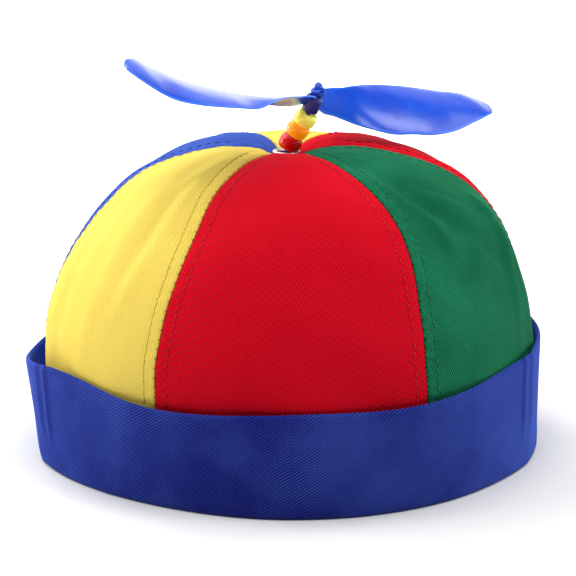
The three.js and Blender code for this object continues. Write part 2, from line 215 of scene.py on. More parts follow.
# Sewing: distance of the topstitch from its seam, stitch pitch, share of it that shows, and thread radius
STITCH_INSET = 4.6
STITCH_PITCH = 3.4
STITCH_SHARE = 0.78
THREAD_RADIUS = 0.2

# The topstitch starts this far down from the eyelet and stops this far above the hem
STITCH_START = 14
STITCH_STOP = 26

# Relief of the sewn cloth: roll at the seam, allowance, stitch line, pull, puckers, crumples and waves
ROLL_DEPTH = 0.3
ALLOWANCE_HEIGHT = 0.07
LINE_DEPTH = 0.15
PULL_HEIGHT = 0.07
PUCKER_HEIGHT = 0.24
CRUMPLE_HEIGHT = 0.3
WAVE_HEIGHT = 0.55

# Share of that relief which shows inside, how far a seam's gap reaches, and the waves and sag of the cuff
INNER_RELIEF = 0.35
SEAM_GAP_REACH = 0.8
CUFF_WAVE = 0.45
CUFF_SAG = 0.5

# Top knot: rise above the hub's foot and shift to the right, and how far the stem runs into it
KNOT_RISE = 8.8
KNOT_SHIFT = 0.3
STEM_REACH = 1.6

# Steps and sides of the stem and of each knot, and the length and girth of a knot's map
STEM_STEPS = 120
STEM_SIDES = 20
KNOT_STEPS = 150
KNOT_SIDES = 18
KNOT_MAP = (40, 6)

# Edges sharper than this many degrees stay sharp
SHARP_ANGLE = 50

# A place inside the crown, from which its cloth faces away
CROWN_INSIDE = (0, 0, 30)

# Twill: ridge pitch and lean from level in the gores' cloth and the cuff's
GORE_TWILL = (0.82, 66)
CUFF_TWILL = (0.98, -32)


def smooth(places, values, at):
    """Smooth curve through the rows of a table, whose columns may be many."""
    places = np.asarray(places, float)
    values = np.asarray(values, float)
    slopes = np.gradient(values, places, axis=0)
    index = np.clip(np.searchsorted(places, at, side="right") - 1, 0, len(places) - 2)
    span = places[index + 1] - places[index]
    share = (at - places[index]) / span
    if values.ndim > 1:
        span = span[..., None]
        share = share[..., None]
    rise = values[index + 1] - values[index]
    start = slopes[index] * span
    end = slopes[index + 1] * span
    cubic = start + end - 2 * rise
    square = 3 * rise - 2 * start - end
    return values[index] + share * (start + share * (square + share * cubic))


def step(value, low, high):
    """Soft step from 0 at low to 1 at high."""
    share = np.clip((value - low) / (high - low), 0, 1)
    return share * share * (3 - 2 * share)


def plan_value(column, angle):
    """Smooth value of one column of the cuff's plan at plan angles in degrees."""
    place = np.mod(angle, 360) / PLAN_STEP
    index = np.floor(place).astype(int)
    share = place - index
    at = [CUFF_PLAN[(index + k) % len(CUFF_PLAN), column] for k in (-1, 0, 1, 2)]
    start = (at[2] - at[0]) / 2
    end = (at[3] - at[1]) / 2
    drop = at[1] - at[2]
    square = -3 * drop - 2 * start - end
    cubic = 2 * drop + start + end
    return at[1] + share * (start + share * (square + share * cubic))


def foot_radius(angle):
    """Radius of the cuff's foot at plan angles, with its side creases."""
    reach = CUFF_RADIUS * plan_value(0, angle)
    for place, depth, width in CUFF_CREASES:
        away = np.abs(np.mod(angle - place + 180, 360) - 180)
        reach = reach + depth * CUFF_RADIUS * np.maximum(0, 1 - away / width) ** CREASE_POWER
    return reach


def plan_points(angle, radius, height):
    """Points at plan angles in degrees, where 0 is the front and 90 the right."""
    turn = np.radians(angle)
    return np.stack(np.broadcast_arrays(radius * np.sin(turn), -radius * np.cos(turn), height), axis=-1)


def waves(across, down, seed, count=5, shortest=22.0):
    """Gentle random relief from a few waves, about -1 to 1, over places in millimetres."""
    random = np.random.default_rng(seed)
    total = 0
    for k in range(count):
        heading = random.uniform(0, math.pi)
        length = shortest * random.uniform(1, 2.6)
        phase = random.uniform(0, 2 * math.pi)
        total = total + np.sin(
            (across * math.cos(heading) + down * math.sin(heading)) * 2 * math.pi / length + phase
        )
    return total / math.sqrt(count) / 1.6


# Meshes

def body_mesh(name, rings, closed, uvs, extra=None):
    """Closed body through rings of points in millimetres, with a UV map of the same rings in millimetres."""
    rings = np.asarray(rings, float)
    count, ring = rings.shape[:2]
    rows = np.arange(count if closed else count - 1)
    cols = np.arange(ring)
    a = (rows[:, None] * ring + cols[None]).ravel()
    b = (rows[:, None] * ring + (cols[None] + 1) % ring).ravel()
    next_row = (rows + 1) % count
    c = (next_row[:, None] * ring + (cols[None] + 1) % ring).ravel()
    d = (next_row[:, None] * ring + cols[None]).ravel()
    quads = np.stack([a, b, c, d], axis=1)
    corner_row = np.stack([rows, rows, rows + 1, rows + 1], axis=1)
    corner_col = np.stack([cols, cols + 1, cols + 1, cols], axis=1)
    uv_row = np.repeat(corner_row, ring, axis=0)
    uv_col = np.tile(corner_col, (len(rows), 1))
    if not closed:
        half = ring // 2
        start = np.arange(half - 1)
        first = np.stack([start, ring - 1 - start, ring - 2 - start, start + 1], axis=1)
        base = (count - 1) * ring
        last = np.stack([start, start + 1, ring - 2 - start, ring - 1 - start], axis=1)
        quads = np.concatenate([quads, first, base + last])
        uv_row = np.concatenate([uv_row, np.zeros_like(first), np.full_like(last, count - 1)])
        uv_col = np.concatenate([uv_col, first, last])
    points = rings.reshape(-1, 3)
    p0, p1, p2, p3 = (points[quads[:, k]] for k in range(4))
    volume = np.einsum("ij,ij->", p0, np.cross(p1, p2)) + np.einsum("ij,ij->", p0, np.cross(p2, p3))
    if volume < 0:
        quads = quads[:, ::-1]
        uv_row = uv_row[:, ::-1]
        uv_col = uv_col[:, ::-1]
    mesh = bpy.data.meshes.new(name)
    mesh.from_pydata((points * MM).tolist(), [], quads.tolist())
    for label, values in (("cloth", uvs), ("seam", extra)):
        if values is None:
            continue
        values = np.asarray(values, float)
        layer = mesh.uv_layers.new(name=label)
        place = values[np.minimum(uv_row, values.shape[0] - 1), np.minimum(uv_col, values.shape[1] - 1)]
        layer.data.foreach_set("uv", (place.reshape(-1, 2) * MM).astype(np.float32).ravel())
    mesh.validate()
    mesh.shade_smooth()
    mesh.set_sharp_from_angle(angle=math.radians(SHARP_ANGLE))
    return mesh


def show(name, mesh, material, body, nodes=()):
    """Put a mesh in the scene as one piece that rides on a body, in place of the CAD nodes named."""
    piece = bpy.data.objects.new(name, mesh)
    bpy.context.scene.collection.objects.link(piece)
    mesh.materials.clear()
    mesh.materials.append(material)
    if nodes:
        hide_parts(*nodes)
    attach(piece, body)


def ring_uv(count, ring, length, girth):
    """UV map of a tube or turned piece: along it, and round it."""
    along = np.broadcast_to(np.linspace(0, length, count)[:, None], (count, ring + 1))
    around = np.broadcast_to(np.linspace(0, girth, ring + 1)[None], (count, ring + 1))
    return np.stack([along, around], axis=-1)


def turned(outline, sides=72):
    """Body turned about +Z from a closed outline of radius and height pairs."""
    outline = np.asarray(outline, float)
    turn = np.linspace(0, 2 * math.pi, sides, endpoint=False)
    rings = np.stack([
        np.cos(turn)[:, None] * outline[None, :, 0],
        np.sin(turn)[:, None] * outline[None, :, 0],
        np.broadcast_to(outline[None, :, 1], (sides, len(outline))),
    ], axis=-1)
    reach = float(outline[:, 0].max())
    return rings, ring_uv(sides + 1, len(outline), 2 * math.pi * reach, 2 * reach)


def rounded(outline, rounds=2):
    """Closed outline with its corners cut and cut again."""
    outline = np.asarray(outline, float)
    for _ in range(rounds):
        after = np.roll(outline, -1, axis=0)
        outline = np.stack([0.75 * outline + 0.25 * after, 0.25 * outline + 0.75 * after], axis=1)
        outline = outline.reshape(-1, outline.shape[-1])
    return outline


def tube_rings(path, radius, sides, start=None):
    """Rings of a round tube along a path; radius may change along it."""
    path = np.asarray(path, float)
    radius = np.broadcast_to(radius, (len(path),))
    along = np.gradient(path, axis=0)
    along /= np.linalg.norm(along, axis=1)[:, None]
    side = np.cross(along[0], (0, 0, 1) if start is None else start)
    if np.linalg.norm(side) < 1e-6:
        side = np.cross(along[0], (1, 0, 0))
    turn = np.linspace(0, 2 * math.pi, sides, endpoint=False)
    rings = []
    for point, direction, size in zip(path, along, radius):
        side = side - direction * np.dot(side, direction)
        side /= np.linalg.norm(side)
        other = np.cross(direction, side)
        rings.append(point + size * (np.cos(turn)[:, None] * side + np.sin(turn)[:, None] * other))
    return np.array(rings)


def rotation_to(direction):
    """Matrix that turns +Z to a direction by the shortest way, as in part.mjs."""
    return np.array(Vector((0, 0, 1)).rotation_difference(Vector(direction)).to_matrix())


def about_z(turn):
    """Matrix that turns by an angle in radians about +Z."""
    sine = math.sin(turn)
    cosine = math.cos(turn)
    return np.array([[cosine, -sine, 0], [sine, cosine, 0], [0, 0, 1]])


def leaning(lean, heading):
    """Direction that leans from upright towards a heading, both in degrees."""
    level = math.sin(math.radians(lean))
    turn = math.radians(heading)
    return np.array([level * math.cos(turn), level * math.sin(turn), math.cos(math.radians(lean))])


# Crown

def crown_rows():
    """Rows of the crown from the eyelet to the hem: radius, height, puff, lean, broad, back and foot."""
    rows = [
        (EYELET_BARREL + CLEARANCE, SEAT_HEIGHT, 0, EYELET_SHIFT, 0, 0, 0),
        (EYELET_RIM + CLEARANCE, SEAT_HEIGHT, 0, EYELET_SHIFT, 0, 0, 0),
    ]
    scale = (CROWN_RADIUS, CROWN_HEIGHT, CROWN_PUFF, CROWN_RADIUS, 1, CROWN_REAR_RISE, 1)
    rows += [tuple(row * scale) for row in CROWN_PROFILE]
    for height in (HEM_HEIGHT + CLOTH_WALL, CUFF_WALL + CLEARANCE):
        rows.append((CROWN_RADIUS, height, 0, 0, 0, 0, 1))
    rows = np.array(rows, float)
    down = np.concatenate([[0], np.cumsum(np.hypot(np.diff(rows[:, 0]), np.diff(rows[:, 1])))])
    return rows, down


CROWN_ROWS, CROWN_DOWN = crown_rows()


def fold_depth(name, across, down, start, end):
    """How far the folds push a place of a gore inwards, in millimetres."""
    width = math.radians(end - start) * CROWN_RADIUS
    length = CROWN_DOWN[-1]
    place = np.stack(np.broadcast_arrays(across * width, down), axis=-1)
    total = np.zeros(place.shape[:-1])
    for a_across, a_down, b_across, b_down, depth, spread in FOLDS[name]:
        a = np.array([a_across * width, a_down * length])
        b = np.array([b_across * width, b_down * length])
        share = np.clip(((place - a) @ (b - a)) / np.dot(b - a, b - a), 0, 1)
        away = np.linalg.norm(place - (a + share[..., None] * (b - a)), axis=-1)
        total += depth * CROWN_RADIUS * np.exp(-((away / (spread * CROWN_RADIUS)) ** 2))
    return total


def crease_height(name, width, across_mm, down):
    """How far the creases lift a place of a gore outwards, in millimetres."""
    total = 0 * across_mm * down
    for a_across, a_down, b_across, b_down, height, spread in CREASES[name]:
        first = a_down * CROWN_DOWN[-1]
        last = b_down * CROWN_DOWN[-1]
        through = (down - first) / (last - first)
        share = np.clip(through, 0, 1)
        middle = (a_across + share * (b_across - a_across) - 0.5) * width
        beyond = down - (first + share * (last - first))
        fade = np.sin(math.pi * np.clip(through, CREASE_END, 1 - CREASE_END)) ** CREASE_FADE
        away = np.hypot(across_mm - middle, beyond)
        total = total + height * fade * np.exp(-((away / spread) ** 2))
    return total


def sewn_relief(seam, down, across_mm, seed):
    """Relief of the outer face near its seams and over its middle, in millimetres."""
    phase = 2 * math.pi * down / STITCH_PITCH
    roll = -ROLL_DEPTH * np.exp(-((seam / 0.25) ** 2))
    folded = step(seam, 0, 2.4) * (1 - step(seam, STITCH_INSET - 0.3, STITCH_INSET + 2.2))
    allowance = ALLOWANCE_HEIGHT * folded
    line = -LINE_DEPTH * np.exp(-(((seam - STITCH_INSET) / 0.75) ** 2)) * (1 - 0.35 * np.cos(phase))
    pull = PULL_HEIGHT * np.cos(phase) * np.exp(-(((seam - 0.5 * STITCH_INSET) / 1.8) ** 2))
    pucker = PUCKER_HEIGHT * waves(across_mm * 0.35, down, seed + 7, 6, 6.0) * np.exp(-((seam / 8.5) ** 2))
    near_top = np.exp(-((down / 22) ** 2))
    crumple = CRUMPLE_HEIGHT * waves(across_mm * 2.2, down, seed + 11, 5, 8.0)
    crumple = crumple * near_top * step(seam, 0, 2.5)
    middle = WAVE_HEIGHT * waves(across_mm, down, seed, 6, 26.0) * step(seam, 4, 22) * (1 - near_top)
    return roll + allowance + line + pull + pucker * step(seam, 0.2, 2) + crumple + middle


def column_places(columns):
    """Columns across a gore, from 0 to 1, closer together near its seams."""
    even = np.linspace(0, 1, columns)
    return 0.45 * even + 0.55 * (0.5 - 0.5 * np.cos(math.pi * even))


def gore_grid(index, columns=64, rows=190):
    """Outer and inner grids of one gore in the row frame, with its cloth and seam maps."""
    name, _, start, end, fullness = GORES[index]
    across = column_places(columns)[None, :]
    down = np.linspace(0, CROWN_DOWN[-1], rows)[:, None]
    radius, height, puff, lean, broad, back, foot = np.moveaxis(
        smooth(CROWN_DOWN, CROWN_ROWS, down[:, 0]), -1, 0
    )[..., None]
    foot = np.clip(foot, 0, 1)
    slope_r = np.gradient(radius[:, 0], down[:, 0])[:, None]
    slope_h = np.gradient(height[:, 0], down[:, 0])[:, None]
    size = np.hypot(slope_r, slope_h)
    normal_r = (-slope_h / size) * (1 - foot) + foot
    normal_h = (slope_r / size) * (1 - foot)
    turn = start + (end - start) * across
    width = math.radians(end - start) * radius
    seam = np.minimum(across, 1 - across) * width
    across_mm = (across - 0.5) * width
    seed = 40 + 5 * index
    power = PUFF_POWER / 2
    least = SEAM_EASE ** power
    most = (1 + SEAM_EASE) ** power
    swell = ((np.sin(math.pi * across) ** 2 + SEAM_EASE) ** power - least) / (most - least)
    shape = puff * fullness * swell
    pressed = fold_depth(name, across, down, start, end) * (1 - step(foot, 0.3, 1))
    relief = sewn_relief(seam, down, across_mm, seed) + crease_height(name, width, across_mm, down)
    relief = relief * (1 - step(foot, 0.6, 1)) * step(down, 0, 3)
    sides = []
    for inset in (0, CLOTH_WALL):
        rise = shape - pressed - inset + (relief if inset == 0 else INNER_RELIEF * relief)
        free = radius + normal_r * rise
        held = foot_radius(turn) - CUFF_WALL - CLEARANCE - inset
        reach = free * (1 - foot) + held * foot
        apart = np.sign(0.5 - across) * 0.5 * CLEARANCE * np.exp(-seam / SEAM_GAP_REACH)
        angle = turn + np.degrees(apart / reach)
        lift = back * (1 - np.cos(np.radians(turn))) / 2
        points = plan_points(angle, reach, height + normal_h * rise + lift)
        points[..., 0] = points[..., 0] * (1 + broad) + lean
        sides.append(points + AXIS_AT)
    cloth = np.stack(np.broadcast_arrays(across_mm, down), axis=-1)
    sewing = np.stack(np.broadcast_arrays(seam, down), axis=-1)
    return sides[0], sides[1], cloth, sewing


def both_sides(face, back):
    """Rings that run over a face and back along its other side."""
    return np.concatenate([face, back[:, ::-1]], axis=1)


def stitch_rows(face, sewing, start, end, side):
    """Threads of one topstitch, as rings of short tubes that dip into the cloth at both ends."""
    down = sewing[:, 0, 1]
    width = math.radians(end - start) * smooth(CROWN_DOWN, CROWN_ROWS[:, 0], down)
    stitches = []
    columns = face.shape[1]
    across = column_places(columns)
    first = math.ceil(STITCH_START / STITCH_PITCH) * STITCH_PITCH
    for begin in np.arange(first, CROWN_DOWN[-1] - STITCH_STOP, STITCH_PITCH):
        spread = np.linspace(0, 1, 6)
        along = begin + STITCH_PITCH * (0.5 - 0.5 * STITCH_SHARE + STITCH_SHARE * spread)
        row_place = np.interp(along, down, np.arange(len(down)))
        share = STITCH_INSET / np.interp(along, down, width)
        share = share if side == 0 else 1 - share
        col_place = np.interp(share, across, np.arange(columns))
        r0 = np.clip(row_place.astype(int), 0, len(down) - 2)
        c0 = np.clip(col_place.astype(int), 0, columns - 2)
        fr = (row_place - r0)[:, None]
        fc = (col_place - c0)[:, None]
        point = (
            face[r0, c0] * (1 - fr) * (1 - fc) + face[r0 + 1, c0] * fr * (1 - fc)
            + face[r0, c0 + 1] * (1 - fr) * fc + face[r0 + 1, c0 + 1] * fr * fc
        )
        tangent_r = face[r0 + 1, c0] - face[r0, c0]
        tangent_c = face[r0, c0 + 1] - face[r0, c0]
        out = np.cross(tangent_c, tangent_r)
        out /= np.linalg.norm(out, axis=1)[:, None]
        out *= np.sign(np.einsum("ij,ij->i", out, point - AXIS_AT - CROWN_INSIDE))[:, None]
        lift = THREAD_RADIUS * (0.95 - 2.3 * (2 * spread - 1) ** 6)
        size = THREAD_RADIUS * (1 - 0.35 * (2 * spread - 1) ** 4)
        stitches.append(tube_rings(point + out * lift[:, None], size, 6, start=out[0]))
    return stitches


def threads_mesh(name, stitches):
    """One mesh of many short closed tubes."""
    points = []
    faces = []
    uvs = []
    for rings in stitches:
        count, ring = rings.shape[:2]
        base = len(points)
        points += rings.reshape(-1, 3).tolist()
        for i in range(count - 1):
            for j in range(ring):
                k = (j + 1) % ring
                faces.append((base + i * ring + j, base + i * ring + k,
                              base + (i + 1) * ring + k, base + (i + 1) * ring + j))
                uvs += [(i * 0.5, j * 0.2), (i * 0.5, (j + 1) * 0.2),
                        ((i + 1) * 0.5, (j + 1) * 0.2), ((i + 1) * 0.5, j * 0.2)]
        faces.append(tuple(base + j for j in reversed(range(ring))))
        faces.append(tuple(base + (count - 1) * ring + j for j in range(ring)))
        uvs += [(0, 0)] * (2 * ring)
    mesh = bpy.data.meshes.new(name)
    mesh.from_pydata((np.array(points) * MM).tolist(), [], faces)
    layer = mesh.uv_layers.new(name="cloth")
    layer.data.foreach_set("uv", (np.array(uvs) * MM).astype(np.float32).ravel())
    mesh.validate()
    mesh.shade_smooth()
    return mesh


# Cuff

def cuff_grid(around=720):
    """Rings of the cuff's section round the hat, with its cloth map."""
    angle = np.linspace(0, 360, around, endpoint=False)
    foot = foot_radius(angle)
    flare = CUFF_FLARE * plan_value(1, angle)
    rise = CUFF_HEIGHT * plan_value(2, angle)
    heights = np.linspace(0, 1, 30)
    bow = smooth(CUFF_BOW[:, 0], CUFF_BOW[:, 1], heights * 0.97)
    girth = np.radians(angle) * CUFF_RADIUS
    rings = []
    lengths = []
    for k in range(around):
        wave = CUFF_WAVE * waves(girth[k], heights * 40, 301, 6, 34.0) * step(heights, 0.02, 0.3)
        sag = CUFF_SAG * waves(girth[k], 0 * heights, 311, 4, 60.0) * heights
        line = 0 * heights
        for place, height, spread in CUFF_LINES:
            away = math.radians(abs(angle[k] - place)) * CUFF_RADIUS
            line = line + height * math.exp(-((away / spread) ** 2)) * step(heights, 0.2, 0.5)
        outer = np.stack([foot[k] + flare[k] * bow + wave + sag + line, rise[k] * heights], axis=-1)
        outer = outer[3:-1]
        inner = outer[::-1].copy()
        inner[:, 0] -= CUFF_WALL
        top = outer[-1]
        lip = [
            (top[0] - 0.12, top[1] + 0.7),
            (top[0] - 0.5 * CUFF_WALL, rise[k] + 0.15),
            (top[0] - CUFF_WALL + 0.12, top[1] + 0.7),
        ]
        leg = foot[k] - CUFF_WALL - CUFF_CHANNEL
        bottom = [
            (foot[k] - 1.9, 0),
            (foot[k] - 1.1, 0.22),
            (foot[k] - 0.45, 0.8),
            (foot[k] - 0.1, 1.9),
        ]
        hem = [
            (foot[k] - CUFF_WALL, CUFF_WALL + 0.3),
            (foot[k] - CUFF_WALL - 0.4, CUFF_WALL),
            (leg + 0.4, CUFF_WALL),
            (leg, CUFF_WALL + 0.5),
            (leg, 0.5 * HEM_HEIGHT),
            (leg, HEM_HEIGHT - 0.7),
            (leg - 0.4, HEM_HEIGHT - 0.1),
            (leg - CUFF_WALL + 0.4, HEM_HEIGHT - 0.1),
            (leg - CUFF_WALL, HEM_HEIGHT - 0.7),
            (leg - CUFF_WALL, 0.5 * HEM_HEIGHT),
            (leg - CUFF_WALL, 1.9),
            (leg - CUFF_WALL + 0.35, 0.8),
            (leg - CUFF_WALL + 1.1, 0.22),
            (leg - CUFF_WALL + 1.9, 0),
        ]
        section = np.concatenate([bottom, outer, lip, inner, hem])
        rings.append(plan_points(angle[k], section[:, 0], section[:, 1]) + AXIS_AT)
        close = np.concatenate([section, section[:1]])
        lengths.append(np.concatenate([[0], np.cumsum(np.linalg.norm(np.diff(close, axis=0), axis=1))]))
    rings = np.array(rings)
    lengths = np.array(lengths + lengths[:1])
    place = np.append(girth, 2 * math.pi * CUFF_RADIUS)[:, None]
    cloth = np.stack(np.broadcast_arrays(place, -lengths), axis=-1)
    return rings, cloth


# Materials

class Graph:
    """Short names for the nodes of one material."""

    def __init__(self, name):
        self.material = bpy.data.materials.new(name)
        self.material.use_nodes = True
        self.tree = self.material.node_tree
        self.shader = self.tree.nodes["Principled BSDF"]

    def node(self, kind, **values):
        made = self.tree.nodes.new(kind)
        for key, value in values.items():
            setattr(made, key, value)
        return made

    def feed(self, socket, value):
        if isinstance(value, bpy.types.NodeSocket):
            self.tree.links.new(value, socket)
        else:
            socket.default_value = value

    def math(self, operation, a, b=0.0, c=0.0):
        made = self.node("ShaderNodeMath", operation=operation)
        for socket, value in zip(made.inputs, (a, b, c)):
            self.feed(socket, value)
        return made.outputs[0]

    def ramp(self, value, low, high):
        made = self.node("ShaderNodeMapRange", interpolation_type="SMOOTHSTEP")
        self.feed(made.inputs["Value"], value)
        self.feed(made.inputs["From Min"], low)
        self.feed(made.inputs["From Max"], high)
        return made.outputs["Result"]

    def mix(self, share, a, b, blend="MIX"):
        made = self.node("ShaderNodeMix", data_type="RGBA", blend_type=blend)
        self.feed(made.inputs["Factor"], share)
        self.feed(made.inputs["A"] if "A" in made.inputs else made.inputs[6], a)
        self.feed(made.inputs["B"] if "B" in made.inputs else made.inputs[7], b)
        return made.outputs[2]

    def fall(self, value, low, high):
        return self.math("SUBTRACT", 1.0, self.ramp(value, low, high))

    def wave(self, turns):
        """Wave between 0 and 1 that peaks at every whole turn."""
        cosine = self.math("COSINE", self.math("MULTIPLY", turns, 2 * math.pi))
        return self.math("MULTIPLY_ADD", cosine, 0.5, 0.5)

    def length(self, a, b):
        squares = self.math("ADD", self.math("MULTIPLY", a, a), self.math("MULTIPLY", b, b))
        return self.math("SQRT", squares)

    def noise(self, vector, scale, detail=2.0, roughness=0.5):
        made = self.node("ShaderNodeTexNoise")
        self.feed(made.inputs["Vector"], vector)
        made.inputs["Scale"].default_value = scale
        made.inputs["Detail"].default_value = detail
        made.inputs["Roughness"].default_value = roughness
        return made.outputs["Fac"]

    def uv(self, name):
        split = self.node("ShaderNodeSeparateXYZ")
        self.feed(split.inputs[0], self.node("ShaderNodeUVMap", uv_map=name).outputs[0])
        return (self.math("MULTIPLY", split.outputs[0], 1000.0),
                self.math("MULTIPLY", split.outputs[1], 1000.0))

    def place(self):
        return self.node("ShaderNodeTexCoord").outputs["Object"]

    def bump(self, height, distance, strength=1.0, under=None):
        made = self.node("ShaderNodeBump")
        made.inputs["Distance"].default_value = distance
        made.inputs["Strength"].default_value = strength
        self.feed(made.inputs["Height"], height)
        if under is not None:
            self.feed(made.inputs["Normal"], under)
        return made.outputs["Normal"]

    def set(self, **values):
        for key, value in values.items():
            self.feed(self.shader.inputs[key.replace("_", " ").title().replace("Ior", "IOR")], value)


def color(r, g, b):
    """Linear colour from 8-bit red, green and blue."""
    values = [v / 255 for v in (r, g, b)]
    linear = [v / 12.92 if v <= 0.04045 else ((v + 0.055) / 1.055) ** 2.4 for v in values]
    return (*linear, 1.0)


def twill(name, main, dark, light, sewn_shade_tone, sheen, band, weave, sewn):
    """Cotton twill: slanting ridges of yarn, darker in the grooves and lighter on the ridge tops, partly the
    yarn's own tone and partly painted shade and painted highlight, with needle holes where it is sewn.
    """
    pitch, lean = weave
    g = Graph(name)
    x, y = g.uv("cloth")
    sine = math.sin(math.radians(lean))
    cosine = math.cos(math.radians(lean))
    wander = g.math("MULTIPLY", g.math("SUBTRACT", g.noise(g.place(), 260.0, 2.0), 0.5), 0.7)
    across = g.math("SUBTRACT", g.math("MULTIPLY", x, sine), g.math("MULTIPLY", y, cosine))
    along = g.math("ADD", g.math("MULTIPLY", x, cosine), g.math("MULTIPLY", y, sine))
    rib = g.math("ADD", g.math("DIVIDE", across, pitch), wander)
    ridge = g.wave(rib)
    shifted = g.math("ADD", g.math("DIVIDE", along, 0.62), g.math("MULTIPLY", g.math("FLOOR", rib), 0.37))
    yarn = g.wave(shifted)
    fuzz = g.noise(g.place(), 3800.0, 3.0, 0.65)
    cloud = g.noise(g.place(), 28.0, 3.0, 0.55)
    relief = g.math("ADD", g.math("MULTIPLY", ridge, 0.62), g.math("MULTIPLY", yarn, 0.2))
    relief = g.math("ADD", relief, g.math("MULTIPLY", fuzz, 0.3))
    # Darker in the grooves between the ridges: partly the yarn's own tone, partly painted shade
    tone = g.math("ADD", g.math("MULTIPLY", ridge, 0.62), g.math("MULTIPLY", fuzz, 0.38))
    base = g.mix(g.ramp(tone, 0.12, 0.9), dark, main)
    base = g.mix(g.math("MULTIPLY", g.ramp(cloud, 0.35, 0.75), 0.25), base, light)
    # In patches the grooves get more painted shade and the ridge tops a painted highlight
    crisp = g.math("MULTIPLY", g.ramp(g.noise(g.place(), 17.0, 2.0), 0.36, 0.66), 0.4)
    base = g.mix(g.math("MULTIPLY", g.ramp(ridge, 0.45, 0.05), crisp), base, dark)
    base = g.mix(g.math("MULTIPLY", g.ramp(ridge, 0.8, 1.0), crisp), base, light)
    if sewn:
        seam, down = g.uv("seam")
        cycle = g.math("FRACT", g.math("ADD", g.math("DIVIDE", down, STITCH_PITCH), 0.5))
        phase = g.math("MULTIPLY", g.math("ABSOLUTE", g.math("SUBTRACT", cycle, 0.5)), STITCH_PITCH)
        off = g.math("SUBTRACT", seam, STITCH_INSET)
        # Needle holes, seam notches and the seam's groove are darkened in one colour: painted shade in these
        # recesses
        hole = g.fall(g.length(off, phase), 0.1, 0.42)
        hole = g.math("MULTIPLY", hole, g.ramp(down, 12.0, 13.0))
        notch = g.length(g.math("DIVIDE", seam, 0.75), g.math("DIVIDE", phase, 0.34))
        notch = g.fall(notch, 0.5, 1.0)
        groove = g.math("MULTIPLY", g.fall(seam, 0.0, 0.3), 0.35)
        shade = g.math("MAXIMUM", g.math("MAXIMUM", hole, notch), groove)
        # Along the doubled seam band the cloth is made lighter in patches
        doubled = g.fall(seam, STITCH_INSET - 0.8, STITCH_INSET + 1.6)
        band_patches = g.ramp(g.noise(g.place(), 420.0, 3.0, 0.6), 0.35, 0.75)
        base = g.mix(g.math("MULTIPLY", g.math("MULTIPLY", doubled, band_patches), band), base, light)
        base = g.mix(g.math("MULTIPLY", shade, 0.85), base, sewn_shade_tone)
        relief = g.math("SUBTRACT", relief, g.math("MULTIPLY", g.math("MAXIMUM", hole, notch), 0.9))
    g.set(base_color=base, roughness=g.math("MULTIPLY_ADD", fuzz, 0.15, 0.78))
    g.set(sheen_weight=sheen, sheen_roughness=0.5, specular_ior_level=0.04)
    g.shader.inputs["Sheen Tint"].default_value = light
    g.feed(g.shader.inputs["Normal"], g.bump(relief, 0.00018, 0.7))
    return g.material


def plastic(name, main, light, rough, soft, edge=False, depth=0.0012, glow=0.0):
    """Moulded plastic with faint flow marks, lighter near thin edges as painted light that shines through
    the thin plastic; light travels to the depth in it.

    The glow stands in for light that comes through a clear piece from behind.
    """
    g = Graph(name)
    flow = g.noise(g.place(), 90.0, 3.0, 0.6)
    grain = g.noise(g.place(), 1400.0, 2.0, 0.5)
    base = g.mix(g.math("MULTIPLY", g.ramp(flow, 0.3, 0.8), 0.3), main, light)
    # Near the thin edges the colour is lightened: painted light that shines through the thin plastic
    if edge:
        near, _ = g.uv("seam")
        shine_through = g.fall(near, 0.1, 1.3)
        base = g.mix(g.math("MULTIPLY", shine_through, 0.8), base, light)
    g.set(base_color=base, roughness=g.math("MULTIPLY_ADD", grain, 0.08, rough))
    g.set(subsurface_weight=soft)
    if glow:
        g.set(emission_color=main, emission_strength=glow)
    g.shader.inputs["Subsurface Radius"].default_value = (1.0, 0.8, 0.6)
    g.shader.inputs["Subsurface Scale"].default_value = depth
    g.feed(g.shader.inputs["Normal"], g.bump(flow, 0.0006, 0.18, g.bump(grain, 0.00004, 0.3)))
    return g.material


def metal(name, main, dark):
    """Plated metal with fine scratches and dull spots."""
    g = Graph(name)
    spots = g.noise(g.place(), 900.0, 4.0, 0.65)
    scratch = g.noise(g.place(), 4200.0, 2.0, 0.5)
    base = g.mix(g.ramp(spots, 0.35, 0.75), main, dark)
    g.set(base_color=base, metallic=1.0, roughness=g.math("MULTIPLY_ADD", spots, 0.3, 0.16))
    g.feed(g.shader.inputs["Normal"], g.bump(scratch, 0.00004, 0.5, g.bump(spots, 0.0001, 0.4)))
    return g.material


def thread(name, main, dark):
    """Spun sewing thread with slanting strands."""
    g = Graph(name)
    x, y = g.uv("cloth")
    strand = g.wave(g.math("ADD", g.math("MULTIPLY", x, 2.2), g.math("MULTIPLY", y, 1.7)))
    fuzz = g.noise(g.place(), 5200.0, 2.0, 0.6)
    tone = g.math("ADD", g.math("MULTIPLY", strand, 0.6), g.math("MULTIPLY", fuzz, 0.4))
    g.set(base_color=g.mix(tone, dark, main), roughness=g.math("MULTIPLY_ADD", fuzz, 0.2, 0.5))
    g.set(specular_ior_level=0.1)
    g.feed(g.shader.inputs["Normal"], g.bump(tone, 0.00008, 0.7))
    return g.material


